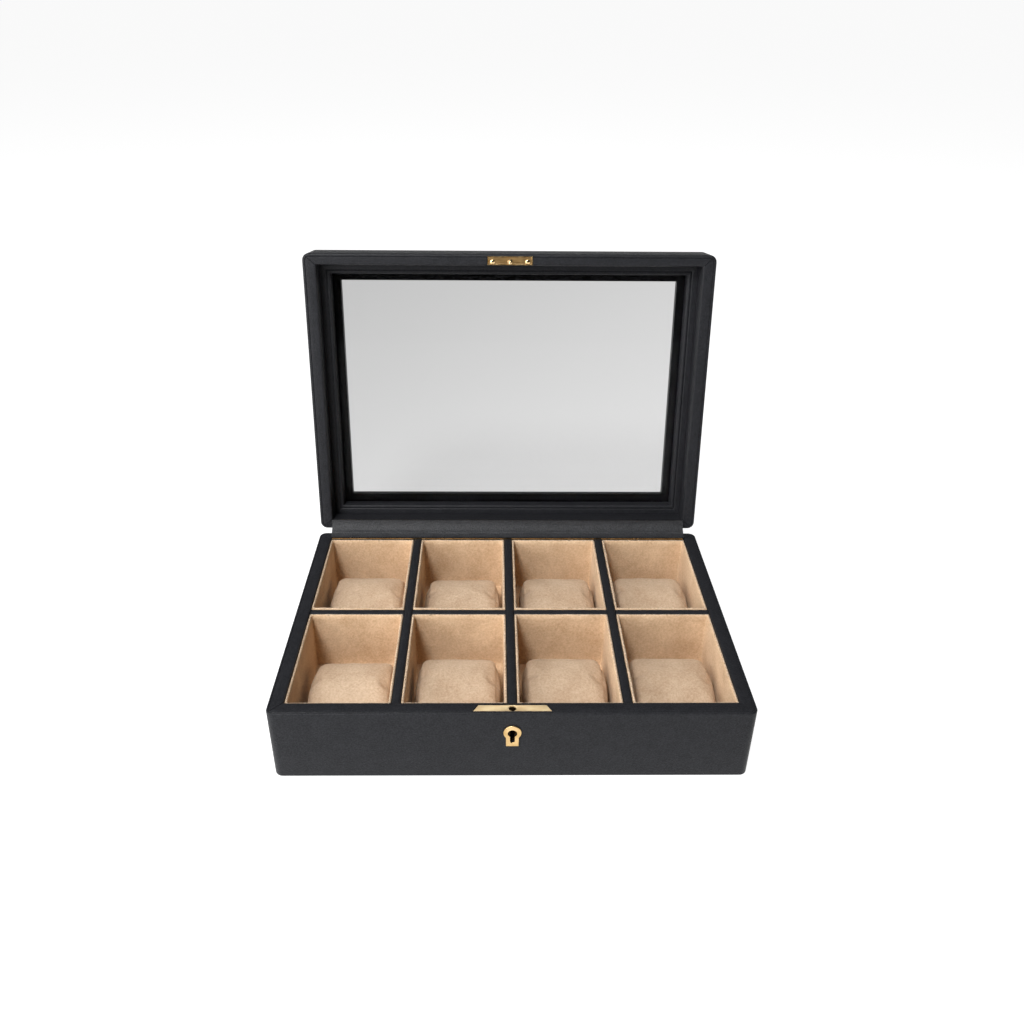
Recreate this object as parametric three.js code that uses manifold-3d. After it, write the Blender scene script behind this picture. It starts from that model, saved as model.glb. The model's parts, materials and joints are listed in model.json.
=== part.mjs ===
// A leather watch box with eight lined compartments, a watch pillow in each, and a hinged lid with a glass window.
// Millimetres, +Z up, the front faces -Y. The origin is the middle of the underside.
// The lid is built shut, inside a group that turns about the hinge pin to the open position.

import * as THREE from 'three';
import { mergeVertices } from 'three/addons/utils/BufferGeometryUtils.js';
import Module from 'manifold-3d';

const wasm = await Module();
wasm.setup();

// Driving dimensions of the whole box
const WIDTH = 290;
const DEPTH = 205;
const BASE_HEIGHT = 51;
const LID_HEIGHT = 32;
const RIM_GAP = 0.4; // between the two rims when the lid is shut
const OPEN_ANGLE = 99.5; // degrees

// Frame widths seen from above; the side rims are the same on the base and the lid
const RIM_SIDE = 9.3;
const RIM_FRONT = 10;
const RIM_BACK = 8.5;
const LID_RIM_FRONT = 7.7;
const LID_RIM_BACK = 6.8;

// Layers
const LEATHER = 1.2;
const STRIP = 2; // the mitred leather strip on each rim
const FELT = 0.5;
const BOARD = 4;
const LINING = 1.4;
const FOOT_ROUND = 1.2; // under the base
const TOP_ROUND = 3; // over the lid
const CORNER_ROUND = 5; // upright corners
const FIT = 0.1; // between neighbours in the base
const LID_FIT = 0.3; // between neighbours in the turned lid

// Compartments
const COLUMNS = 4;
const DIVIDER = 6;
const DIVIDER_DROP = 1; // below the rim
const CROSS_DROP = 1.4;
const LINER_DROP = 1.2;

// Watch pillows
const PILLOW_WIDTH = 55;
const PILLOW_DEPTH = 56;
const PILLOW_HEIGHT = 29.5;
const PILLOW_POWER = 2.4; // 2 is an ellipse, higher is boxier
// How far each pillow sits to the right of and behind the middle of its tray, from the left column to the right
const PILLOW_PLACES = {
  front: [[2.2, -6.7], [0.6, -2.7], [0.3, -2.2], [0, -1.9]],
  back: [[1.2, -2.7], [0.6, -5.2], [0.8, -3.7], [0, -2.5]],
};

// Lid window
const MOULDING_DEPTH = 13.8; // how far the moulding lies below the lid rim
const MOULDING_WIDTH = 7.1;
const GLASS_DEPTH = 23.2;
const GLASS = 2;
const GLASS_HOLD = 4; // how far the glass reaches under the moulding
const BORDER_SHOWS = 5.5; // width of the border seen through the edge of the glass
const BORDER = 3;
const TOP_BOARD = 1.4;

// Hinge
const HINGE_HALF = 135; // half its length
const PIN_BEHIND = 2.1; // pin axis behind the back face
const LEAF = 0.7;
const LEAF_DROP = 0.4; // below the rim face
const KNUCKLES = 15;
const KNUCKLE_RADIUS = 1.6;
const BORE_RADIUS = 0.85;
const PIN_RADIUS = 0.7;
const KNUCKLE_GAP = 0.3;
const FLAP = 0.5;
const FLAP_HALF = 135.8;

// Lock
const PLATE_FRONT_HALF = 23.5; // the face plate is longer along its front edge
const PLATE_BACK_HALF = 20.2;
const PLATE_Y = [-100.1, -94.5];
const PLATE_THICK = 1.2;
const PLATE_DROP = 0.3;
const STUD_Y = -97.3;
const STUD_RADIUS = 1.1;
const STUD_LENGTH = 7.4;
const STUD_HOLE = 2.3;
const CASE_X = [-15, 17];
const CASE_Y = [-100.1, -94.6];
const CASE_BOTTOM = 26.4;
const CASE_WALL = 0.5;
const KEYHOLE_Z = 36.2;
const KEYHOLE_RADIUS = 2.75;
const KEYHOLE_SLOT = 2.8;
const KEYHOLE_BOTTOM = 29;
const KEY_POST_RADIUS = 1.1;
const BOLT_TIP = 2.2; // left end of the drawn bolt

// Places worked out from them
const LEFT = -WIDTH / 2;
const RIGHT = WIDTH / 2;
const FRONT = -DEPTH / 2;
const BACK = DEPTH / 2;
const INNER = { x0: LEFT + RIM_SIDE, x1: RIGHT - RIM_SIDE, y0: FRONT + RIM_FRONT, y1: BACK - RIM_BACK };
const LID_INNER = { ...INNER, y0: FRONT + LID_RIM_FRONT, y1: BACK - LID_RIM_BACK };
const CROSS_Y = (INNER.y0 + INNER.y1) / 2;
const CELL_WIDTH = (INNER.x1 - INNER.x0 - (COLUMNS - 1) * DIVIDER) / COLUMNS;
const WALL_TOP = BASE_HEIGHT - STRIP - FIT;
const BOARD_BOTTOM = FELT + FIT + LEATHER + FIT;
const FLOOR = BOARD_BOTTOM + BOARD + FIT;
const LINER_TOP = BASE_HEIGHT - LINER_DROP;
const LID_RIM = BASE_HEIGHT + RIM_GAP;
const LID_TOP = LID_RIM + LID_HEIGHT;
const PIN_Y = BACK + PIN_BEHIND;
const PIN_Z = BASE_HEIGHT + RIM_GAP / 2;

// Finishes
const FINISHES = {
  leather: { color: 0x1d1e20, roughness: 0.55, metalness: 0 },
  suede: { color: 0xb08a66, roughness: 0.95, metalness: 0 },
  wood: { color: 0x8a6b4a, roughness: 0.8, metalness: 0 },
  felt: { color: 0x222222, roughness: 1, metalness: 0 },
  brass: { color: 0xd8a859, roughness: 0.25, metalness: 1 },
  steel: { color: 0x8c8f94, roughness: 0.35, metalness: 1 },
  glass: { color: 0xdfe4e4, roughness: 0.05, metalness: 0, transparent: true, opacity: 0.3 },
};

// --- shape helpers -------------------------------------------------------

// A closed geometry as a solid that can be cut and joined.
function toSolid(geometry) {
  const bare = geometry.clone();
  bare.deleteAttribute('normal');
  bare.deleteAttribute('uv');
  const merged = mergeVertices(bare, 1e-4);
  return new wasm.Manifold(
    new wasm.Mesh({
      numProp: 3,
      vertProperties: new Float32Array(merged.attributes.position.array),
      triVerts: new Uint32Array(merged.index.array),
    }),
  );
}

function toGeometry(solid) {
  const mesh = solid.getMesh();
  const geometry = new THREE.BufferGeometry();
  geometry.setAttribute('position', new THREE.BufferAttribute(new Float32Array(mesh.vertProperties), 3));
  geometry.setIndex(new THREE.BufferAttribute(new Uint32Array(mesh.triVerts), 1));
  geometry.computeVertexNormals();
  return geometry;
}

function cut(geometry, ...tools) {
  return toGeometry(tools.reduce((solid, tool) => solid.subtract(toSolid(tool)), toSolid(geometry)));
}

function join(geometry, ...others) {
  return toGeometry(others.reduce((solid, other) => solid.add(toSolid(other)), toSolid(geometry)));
}

// What two closed geometries share.
function meet(geometry, other) {
  return toGeometry(toSolid(geometry).intersect(toSolid(other)));
}

// A block between two corners.
function box([x0, x1], [y0, y1], [z0, z1]) {
  const block = new THREE.BoxGeometry(x1 - x0, y1 - y0, z1 - z0);
  return block.translate((x0 + x1) / 2, (y0 + y1) / 2, (z0 + z1) / 2);
}

// An upright or lying cylinder by its middle, as a closed prism.
function rod(radius, length, axis, [x, y, z], sides = 20) {
  const cylinder = new THREE.CylinderGeometry(radius, radius, length, sides);
  if (axis === 'x') cylinder.rotateZ(Math.PI / 2);
  if (axis === 'z') cylinder.rotateX(Math.PI / 2);
  return cylinder.translate(x, y, z);
}

// A closed surface through loops of points, with flat ends.
function loft(loops) {
  const size = loops[0].length;
  const triangles = [];
  for (let i = 0; i + 1 < loops.length; i += 1) {
    for (let k = 0; k < size; k += 1) {
      const next = (k + 1) % size;
      const [a, b] = [i * size + k, i * size + next];
      triangles.push(a, b, b + size, a, b + size, a + size);
    }
  }
  const middle = (loop) => loop.reduce((sum, p) => sum.add(p), new THREE.Vector3()).divideScalar(size);
  const points = [...loops.flat(), middle(loops[0]), middle(loops.at(-1))];
  const last = (loops.length - 1) * size;
  for (let k = 0; k < size; k += 1) {
    const next = (k + 1) % size;
    triangles.push(points.length - 2, next, k);
    triangles.push(points.length - 1, last + k, last + next);
  }
  const geometry = new THREE.BufferGeometry().setFromPoints(points);
  geometry.setIndex(triangles);
  const solid = toSolid(geometry);
  if (solid.volume() > 0) return geometry;
  geometry.index.array.reverse();
  return geometry;
}

// One loop of a rectangle with round corners, at height z.
function roundedLoop(inset, radius, z, steps = 4) {
  const loop = [];
  for (let corner = 0; corner < 4; corner += 1) {
    const sx = corner === 0 || corner === 3 ? 1 : -1;
    const sy = corner < 2 ? 1 : -1;
    for (let i = 0; i <= steps; i += 1) {
      const angle = ((corner + i / steps) * Math.PI) / 2;
      const x = sx * (RIGHT - inset - radius) + radius * Math.cos(angle);
      const y = sy * (BACK - inset - radius) + radius * Math.sin(angle);
      loop.push(new THREE.Vector3(x, y, z));
    }
  }
  return loop;
}

// An upright block with round corners, that far inside the outer faces.
function roundedPrism(inset, [z0, z1]) {
  return loft([z0, z1].map((z) => roundedLoop(inset, CORNER_ROUND - inset, z)));
}

// A block as wide and deep as the box, from zFlat to zRound, with the edge at zRound rounded over.
function roundedBlock(zFlat, zRound, edge, steps = 5) {
  const loops = [roundedLoop(0, CORNER_ROUND, zFlat)];
  const side = Math.sign(zRound - zFlat);
  for (let i = 0; i <= steps; i += 1) {
    const angle = ((i / steps) * Math.PI) / 2;
    const inset = edge * (1 - Math.cos(angle));
    const z = zRound - side * edge * (1 - Math.sin(angle));
    loops.push(roundedLoop(inset, CORNER_ROUND - inset, z));
  }
  return loft(loops);
}

// One strip of a rim, mitred from the outer corners to the inner ones, with its outer top edge eased.
function mitredStrip(side, inner, zFoot, zFace) {
  const outer = { x0: LEFT, x1: RIGHT, y0: FRONT, y1: BACK };
  const ends = {
    front: [['x0', 'y0'], ['x1', 'y0']],
    right: [['x1', 'y0'], ['x1', 'y1']],
    back: [['x1', 'y1'], ['x0', 'y1']],
    left: [['x0', 'y1'], ['x0', 'y0']],
  }[side];
  const ease = 1 * Math.sign(zFace - zFoot);
  const mitreGap = 0.15;
  const across = side === 'front' || side === 'back' ? 'y' : 'x';
  const edge = side === 'front' || side === 'left' ? '0' : '1';
  const width = Math.abs(inner[across + edge] - outer[across + edge]);
  const section = [[0, zFoot], [0, zFace - ease]];
  for (let i = 1; i <= 4; i += 1) {
    const angle = (i / 4) * (Math.PI / 2);
    section.push([1 - Math.cos(angle), zFace - ease * (1 - Math.sin(angle))]);
  }
  section.push([width, zFace], [width, zFoot]);
  const along = new THREE.Vector3(
    outer[ends[1][0]] - outer[ends[0][0]],
    outer[ends[1][1]] - outer[ends[0][1]],
    0,
  ).normalize();
  const loops = ends.map(([kx, ky], end) =>
    section.map(([u, z]) => {
      const t = u / width;
      const x = THREE.MathUtils.lerp(outer[kx], inner[kx], t);
      const y = THREE.MathUtils.lerp(outer[ky], inner[ky], t);
      return new THREE.Vector3(x, y, z).addScaledVector(along, end ? -mitreGap : mitreGap);
    }),
  );
  return meet(loft(loops), roundedPrism(0, [Math.min(zFoot, zFace) - 1, Math.max(zFoot, zFace) + 1]));
}

// The outline of the keyhole, or of the same shape grown all round, as a prism along Y.
function keyhole(grow, [y0, y1]) {
  const radius = KEYHOLE_RADIUS + grow;
  const half = KEYHOLE_SLOT / 2 + grow;
  const shape = new THREE.Shape();
  const turn = Math.asin(half / radius);
  shape.absarc(0, KEYHOLE_Z, radius, turn - Math.PI / 2, (3 * Math.PI) / 2 - turn, false);
  shape.absarc(0, KEYHOLE_BOTTOM + KEYHOLE_SLOT / 2, half, Math.PI, 2 * Math.PI, false);
  return alongY(shape, [y0, y1]);
}

// A shape drawn in X and Z, pushed along Y.
function alongY(shape, [y0, y1], curveSegments = 10) {
  const prism = new THREE.ExtrudeGeometry(shape, { depth: y1 - y0, bevelEnabled: false, curveSegments });
  return prism.rotateX(Math.PI / 2).translate(0, y1, 0);
}

// --- assembly ------------------------------------------------------------

const watchBox = new THREE.Group();
const lidHinge = new THREE.Group();
const shutLid = new THREE.Group();
lidHinge.position.set(0, PIN_Y, PIN_Z);
lidHinge.rotation.x = -THREE.MathUtils.degToRad(OPEN_ANGLE);
shutLid.position.set(0, -PIN_Y, -PIN_Z);
lidHinge.add(shutLid);
watchBox.add(lidHinge);

function add(group, name, finish, geometry) {
  const mesh = new THREE.Mesh(geometry, new THREE.MeshStandardMaterial(FINISHES[finish]));
  mesh.name = name;
  group.add(mesh);
}

// The case under the lid: felt, board, four walls, the leather round them and the mitred rim.
function addCase() {
  const feltInset = FOOT_ROUND + 1;
  const hem = 9;
  const skin = LEATHER + FIT;
  add(watchBox, 'underside_felt', 'felt', roundedPrism(feltInset, [0, FELT]));
  add(watchBox, 'bottom_board', 'wood', roundedPrism(skin, [BOARD_BOTTOM, BOARD_BOTTOM + BOARD]));

  const pocket = box(
    [CASE_X[0] - 0.3, CASE_X[1] + 0.3], [FRONT, CASE_Y[1] + 0.3], [CASE_BOTTOM - 0.3, BASE_HEIGHT]);
  const wallZ = [FLOOR, WALL_TOP];
  const block = roundedPrism(skin, wallZ);
  const acrossX = [LEFT + skin, RIGHT - skin];
  const betweenY = [INNER.y0 + FIT, INNER.y1 - FIT];
  const wallFront = meet(box(acrossX, [FRONT + skin, INNER.y0], wallZ), block);
  add(watchBox, 'base_wall_front', 'wood', cut(wallFront, pocket));
  add(watchBox, 'base_wall_back', 'wood', meet(box(acrossX, [INNER.y1, BACK - skin], wallZ), block));
  add(watchBox, 'base_wall_left', 'wood', box([LEFT + skin, INNER.x0], betweenY, wallZ));
  add(watchBox, 'base_wall_right', 'wood', box([INNER.x1, RIGHT - skin], betweenY, wallZ));

  const hollow = roundedPrism(LEATHER, [BOARD_BOTTOM - FIT, BASE_HEIGHT]);
  const underneath = box([LEFT + hem, RIGHT - hem], [FRONT + hem, BACK - hem], [0, BOARD_BOTTOM]);
  const keyWay = keyhole(0.3, [FRONT - 1, FRONT + 2 * LEATHER]);
  add(watchBox, 'base_cover', 'leather', cut(
    roundedBlock(WALL_TOP, FELT + FIT, FOOT_ROUND), hollow, underneath, keyWay));

  const plateSeat = box(
    [-PLATE_FRONT_HALF - 0.4, PLATE_FRONT_HALF + 0.4], [PLATE_Y[0] - 0.1, PLATE_Y[1] + 0.3],
    [0, 2 * BASE_HEIGHT]);
  const leafSeat = box(
    [-FLAP_HALF - 0.1, FLAP_HALF + 0.1], [0, 2 * BACK],
    [BASE_HEIGHT - LEAF_DROP - LEAF - FIT, BASE_HEIGHT + 1]);
  const rim = (side) => mitredStrip(side, INNER, BASE_HEIGHT - STRIP, BASE_HEIGHT);
  add(watchBox, 'base_rim_front', 'leather', cut(rim('front'), plateSeat));
  add(watchBox, 'base_rim_back', 'leather', cut(rim('back'), leafSeat));
  add(watchBox, 'base_rim_left', 'leather', rim('left'));
  add(watchBox, 'base_rim_right', 'leather', rim('right'));
}

// The left edge of a column of compartments.
function columnStart(column) {
  return INNER.x0 + column * (CELL_WIDTH + DIVIDER);
}

// Dividers that run from front to back, halved over one that runs across.
function addDividers() {
  const halved = (FLOOR + BASE_HEIGHT) / 2;
  const crossY = [CROSS_Y - DIVIDER / 2, CROSS_Y + DIVIDER / 2];
  const slots = [];
  ['left', 'middle', 'right'].forEach((place, i) => {
    const x = columnStart(i) + CELL_WIDTH;
    const blank = box(
      [x, x + DIVIDER], [INNER.y0 + FIT, INNER.y1 - FIT], [FLOOR, BASE_HEIGHT - DIVIDER_DROP]);
    const notch = box([x - 1, x + DIVIDER + 1], [crossY[0] - FIT, crossY[1] + FIT], [0, halved + FIT]);
    slots.push(box([x - FIT, x + DIVIDER + FIT], [crossY[0] - 1, crossY[1] + 1], [halved, BASE_HEIGHT]));
    add(watchBox, `divider_${place}`, 'leather', cut(blank, notch));
  });
  const blank = box(
    [INNER.x0 + FIT, INNER.x1 - FIT], crossY, [FLOOR, BASE_HEIGHT - CROSS_DROP]);
  add(watchBox, 'divider_cross', 'leather', cut(blank, ...slots));
}

// A soft roll lying along X, smaller towards its two ends.
function pillow(x, y, z) {
  const ends = [[-1, 0.84], [-0.94, 0.95], [-0.86, 1], [0.86, 1], [0.94, 0.95], [1, 0.84]];
  const sides = 28;
  const bulge = (value) => Math.sign(value) * Math.abs(value) ** (2 / PILLOW_POWER);
  return loft(ends.map(([along, scale]) => {
    const loop = [];
    for (let i = 0; i < sides; i += 1) {
      const angle = (2 * Math.PI * i) / sides;
      loop.push(new THREE.Vector3(
        x + (along * PILLOW_WIDTH) / 2,
        y + (scale * PILLOW_DEPTH * bulge(Math.cos(angle))) / 2,
        z + (scale * PILLOW_HEIGHT * bulge(Math.sin(angle))) / 2,
      ));
    }
    return loop;
  }));
}

// A suede tray and its pillow in every compartment.
function addCompartments() {
  const rows = {
    front: [INNER.y0 + FIT, CROSS_Y - DIVIDER / 2 - FIT],
    back: [CROSS_Y + DIVIDER / 2 + FIT, INNER.y1 - FIT],
  };
  for (const [row, [y0, y1]] of Object.entries(rows)) {
    for (let column = 0; column < COLUMNS; column += 1) {
      const x0 = columnStart(column) + FIT;
      const x1 = columnStart(column) + CELL_WIDTH - FIT;
      const tray = cut(
        box([x0, x1], [y0, y1], [FLOOR, LINER_TOP]),
        box([x0 + LINING, x1 - LINING], [y0 + LINING, y1 - LINING], [FLOOR + LINING, BASE_HEIGHT]));
      add(watchBox, `liner_${row}_${column + 1}`, 'suede', tray);
      const [right, behind] = PILLOW_PLACES[row][column];
      const z = FLOOR + LINING + FIT + PILLOW_HEIGHT / 2;
      const soft = pillow((x0 + x1) / 2 + right, (y0 + y1) / 2 + behind, z);
      add(watchBox, `pillow_${row}_${column + 1}`, 'suede', soft);
    }
  }
}

// The lock in the front wall: face plate, case, key post, bolt and spring, and the escutcheon outside.
function addLock() {
  const plateTop = BASE_HEIGHT - PLATE_DROP;
  const caseTop = plateTop - PLATE_THICK - FIT;
  const insideY = [CASE_Y[0] + CASE_WALL, CASE_Y[1] - CASE_WALL];

  const outline = new THREE.Shape([
    new THREE.Vector2(-PLATE_FRONT_HALF, PLATE_Y[0]),
    new THREE.Vector2(PLATE_FRONT_HALF, PLATE_Y[0]),
    new THREE.Vector2(PLATE_BACK_HALF, PLATE_Y[1]),
    new THREE.Vector2(-PLATE_BACK_HALF, PLATE_Y[1]),
  ]);
  const plate = new THREE.ExtrudeGeometry(outline, { depth: PLATE_THICK, bevelEnabled: false });
  plate.translate(0, 0, plateTop - PLATE_THICK);
  add(watchBox, 'lock_face_plate', 'brass', cut(plate, rod(STUD_HOLE, 10, 'z', [0, STUD_Y, plateTop], 24)));

  const shell = box(CASE_X, CASE_Y, [CASE_BOTTOM, caseTop]);
  const inside = box(
    [CASE_X[0] + CASE_WALL, CASE_X[1] - CASE_WALL], [insideY[0], 0],
    [CASE_BOTTOM + CASE_WALL, BASE_HEIGHT]);
  add(watchBox, 'lock_case', 'brass', cut(shell, inside, keyhole(0, [FRONT, insideY[0] + 1])));
  add(watchBox, 'lock_back_plate', 'brass', box(
    [CASE_X[0] + CASE_WALL + FIT, CASE_X[1] - CASE_WALL - FIT], [insideY[1] + FIT, CASE_Y[1]],
    [CASE_BOTTOM + CASE_WALL + FIT, caseTop]));

  const postY = [insideY[0] + 0.4, insideY[1]];
  const post = rod(
    KEY_POST_RADIUS, postY[1] - postY[0], 'y', [0, (postY[0] + postY[1]) / 2, KEYHOLE_Z], 16);
  add(watchBox, 'key_post', 'steel', post);

  // The bolt's fork slides round the neck of the catch stud.
  const boltY = [insideY[0] + 0.2, insideY[1] - 0.2];
  const forkZ = [45.3, 46.9];
  const forkEnd = BOLT_TIP + 3.8;
  const fork = cut(
    box([BOLT_TIP, forkEnd + 1], boltY, forkZ),
    box([BOLT_TIP - 1, forkEnd - 0.2], [STUD_Y - 0.8, STUD_Y + 0.8], [forkZ[0] - 1, forkZ[1] + 1]));
  const boltBody = cut(
    box([forkEnd, CASE_X[1] - 2], boltY, [42.3, 47.6]),
    box([8.5, 11.5], [FRONT, BACK], [41.8, 44]));
  add(watchBox, 'lock_bolt', 'steel', join(fork, boltBody));

  const bow = new THREE.Shape([
    new THREE.Vector2(4, 41.4),
    new THREE.Vector2(9.5, 39.6),
    new THREE.Vector2(15, 41.4),
    new THREE.Vector2(15, 41),
    new THREE.Vector2(9.5, 39.1),
    new THREE.Vector2(4, 41),
  ]);
  add(watchBox, 'bolt_spring', 'steel', alongY(bow, [insideY[0] + 0.5, insideY[1] - 0.5]));

  const badge = new THREE.Shape();
  const ringRadius = 5.35;
  const neck = 3.9;
  const shoulder = Math.asin(neck / ringRadius);
  badge.absarc(0, 36.7, ringRadius, shoulder - Math.PI / 2, (3 * Math.PI) / 2 - shoulder, false);
  badge.lineTo(-neck + 0.1, 26.3);
  badge.lineTo(neck - 0.1, 26.3);
  const escutcheon = alongY(badge, [FRONT - 1.1, FRONT - FIT], 16);
  add(watchBox, 'keyhole_escutcheon', 'brass', cut(escutcheon, keyhole(0, [FRONT - 5, FRONT + 5])));
}

// One leaf of the hinge: a plate on the rim, tabs, and every other knuckle. Up is 1 for the lid's leaf.
function hingeLeaf(up) {
  const rim = up > 0 ? LID_RIM : BASE_HEIGHT;
  const near = rim + up * LEAF_DROP;
  const plateZ = [Math.min(near, near + up * LEAF), Math.max(near, near + up * LEAF)];
  const step = (2 * HINGE_HALF) / KNUCKLES;
  const inner = up > 0 ? LID_INNER : INNER;
  const parts = [box([-HINGE_HALF, HINGE_HALF], [inner.y1 + 0.5, BACK - 0.1], plateZ)];
  for (let i = up > 0 ? 1 : 0; i < KNUCKLES; i += 2) {
    const x0 = -HINGE_HALF + i * step + KNUCKLE_GAP / 2;
    const x1 = x0 + step - KNUCKLE_GAP;
    parts.push(box([x0, x1], [BACK - 0.5, PIN_Y], plateZ));
    parts.push(rod(KNUCKLE_RADIUS, x1 - x0, 'x', [(x0 + x1) / 2, PIN_Y, PIN_Z], 16));
  }
  return cut(join(...parts), rod(BORE_RADIUS, 3 * HINGE_HALF, 'x', [0, PIN_Y, PIN_Z], 16));
}

// The leather flap inside the hinge, hanging from the lid's rim to the base's rim in one curve.
function flap() {
  const curve = new THREE.QuadraticBezierCurve(
    new THREE.Vector2(INNER.y1 + 0.8, BASE_HEIGHT + 0.1),
    new THREE.Vector2(PIN_Y - 1.3, PIN_Z + 1.2),
    new THREE.Vector2(PIN_Y + 1.3, PIN_Z + 9),
  );
  const steps = 12;
  const section = [];
  for (let i = 0; i <= steps; i += 1) {
    const point = curve.getPoint(i / steps);
    const tangent = curve.getTangent(i / steps);
    const out = new THREE.Vector2(-tangent.y, tangent.x).multiplyScalar(FLAP);
    section[i] = point;
    section[2 * steps + 1 - i] = point.clone().add(out);
  }
  const shape = new THREE.Shape(section);
  const strip = new THREE.ExtrudeGeometry(shape, { depth: 2 * FLAP_HALF, bevelEnabled: false });
  return strip.rotateX(Math.PI / 2).rotateZ(Math.PI / 2).translate(-FLAP_HALF, 0, 0);
}

function addHinge() {
  add(watchBox, 'hinge_leaf_base', 'brass', hingeLeaf(-1));
  add(shutLid, 'hinge_leaf_lid', 'brass', hingeLeaf(1));
  add(watchBox, 'hinge_pin', 'steel', rod(PIN_RADIUS, 2 * HINGE_HALF, 'x', [0, PIN_Y, PIN_Z], 12));
  add(watchBox, 'hinge_flap', 'leather', flap());
}

// The lid, shut: rim strips, four rails, the moulding that holds the glass, the border behind the glass,
// the top board and the leather cover.
function addLid() {
  const up = (depth) => LID_RIM + depth;
  const skin = LEATHER + LID_FIT;
  const borderDepth = GLASS_DEPTH + GLASS + LID_FIT;
  const railTop = borderDepth + BORDER;
  const boardZ = [up(railTop + LID_FIT), up(railTop + LID_FIT + TOP_BOARD)];
  const railZ = [up(STRIP + LID_FIT), up(railTop)];
  const inward = (amount) => [
    [LID_INNER.x0 + amount, LID_INNER.x1 - amount],
    [LID_INNER.y0 + amount, LID_INNER.y1 - amount],
  ];
  const glassEdge = LID_FIT + MOULDING_WIDTH - GLASS_HOLD;
  const opening = LID_FIT + MOULDING_WIDTH + BORDER_SHOWS;

  const rim = (side) => mitredStrip(side, LID_INNER, LID_RIM + STRIP, LID_RIM);
  const strikeSeat = box([-16.3, 16.3], [FRONT + 1, LID_INNER.y0 + 1], [0, LID_RIM + 1.5]);
  const leafSeat = box(
    [-FLAP_HALF - 0.1, FLAP_HALF + 0.1], [0, 2 * BACK], [0, LID_RIM + LEAF_DROP + LEAF + LID_FIT]);
  add(shutLid, 'lid_rim_front', 'leather', cut(rim('front'), strikeSeat));
  add(shutLid, 'lid_rim_back', 'leather', cut(rim('back'), leafSeat));
  add(shutLid, 'lid_rim_left', 'leather', rim('left'));
  add(shutLid, 'lid_rim_right', 'leather', rim('right'));

  const acrossX = [LEFT + skin, RIGHT - skin];
  const betweenY = [LID_INNER.y0 + LID_FIT, LID_INNER.y1 - LID_FIT];
  const block = roundedPrism(skin, [LID_RIM, LID_TOP]);
  add(shutLid, 'lid_rail_front', 'leather', meet(box(acrossX, [FRONT + skin, LID_INNER.y0], railZ), block));
  add(shutLid, 'lid_rail_back', 'leather', meet(box(acrossX, [LID_INNER.y1, BACK - skin], railZ), block));
  add(shutLid, 'lid_rail_left', 'leather', box([LEFT + skin, LID_INNER.x0], betweenY, railZ));
  add(shutLid, 'lid_rail_right', 'leather', box([LID_INNER.x1, RIGHT - skin], betweenY, railZ));

  add(shutLid, 'window_moulding', 'leather', cut(
    box(...inward(LID_FIT), [up(MOULDING_DEPTH), up(GLASS_DEPTH - LID_FIT)]),
    box(...inward(LID_FIT + MOULDING_WIDTH), [0, LID_TOP])));
  add(shutLid, 'window_glass', 'glass', box(
    ...inward(glassEdge), [up(GLASS_DEPTH), up(GLASS_DEPTH + GLASS)]));
  add(shutLid, 'window_border', 'leather', cut(
    box(...inward(LID_FIT), [up(borderDepth), up(railTop)]),
    box(...inward(opening), [0, 2 * LID_TOP])));
  add(shutLid, 'lid_top_board', 'wood', cut(
    roundedPrism(skin, boardZ),
    box(...inward(opening + 0.6 - LID_FIT), [0, 2 * LID_TOP])));
  const hollow = roundedPrism(LEATHER, [0, boardZ[1] + LID_FIT]);
  const shell = roundedBlock(up(STRIP + LID_FIT), LID_TOP, TOP_ROUND);
  add(shutLid, 'lid_cover', 'leather', cut(shell, hollow, box(...inward(opening), [0, 2 * LID_TOP])));
}

// The brass strike plate in the lid's front rim, with two rivets and the catch stud.
function addStrike() {
  const plateZ = [LID_RIM + 0.4, LID_RIM + 1.2];
  const rivetX = 12.3;
  const strike = box([-16, 16], [FRONT + 1.3, LID_INNER.y0 - 0.1], plateZ);
  const holes = [-rivetX, rivetX, 0].map((x) => rod(1.4, 10, 'z', [x, STUD_Y, LID_RIM], 16));
  add(shutLid, 'strike_plate', 'brass', cut(strike, ...holes));

  const dome = [[0, -0.4], [0.9, -0.3], [1.6, 0], [1.9, 0.1], [0.8, 0.1], [0.8, 1.2], [0, 1.2]];
  const stud = [
    [0, -STUD_LENGTH], [0.6, -STUD_LENGTH], [STUD_RADIUS, -STUD_LENGTH + 0.7], [STUD_RADIUS, -6.4],
    [0.6, -6.3], [0.6, -4.2], [STUD_RADIUS, -4.1], [STUD_RADIUS, -0.5], [1.9, -0.5], [1.9, 0.1],
    [STUD_RADIUS, 0.1], [STUD_RADIUS, 1.2], [0, 1.2],
  ];
  const turned = (profile, x) => {
    const points = profile.map(([r, z]) => new THREE.Vector2(r, z));
    return new THREE.LatheGeometry(points, 20).rotateX(Math.PI / 2).translate(x, STUD_Y, LID_RIM);
  };
  add(shutLid, 'strike_rivet_left', 'brass', turned(dome, -rivetX));
  add(shutLid, 'strike_rivet_right', 'brass', turned(dome, rivetX));
  add(shutLid, 'catch_stud', 'brass', turned(stud, 0));
}

addCase();
addDividers();
addCompartments();
addLock();
addHinge();
addLid();
addStrike();

export default watchBox;
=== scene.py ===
"""A black leather watch box with a glass-topped lid, lined compartments and suede watch pillows.

Lengths in this file are in millimetres, and turn into metres where a mesh is made. Lights, the camera and the
grain of the materials are in metres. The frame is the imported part's: X to the right, Y to the back and Z up,
with the origin in the middle of the underside.
"""

import json
import math
import random

import bmesh
import bpy
import numpy as np
from mathutils import Matrix, Vector, noise


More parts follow.
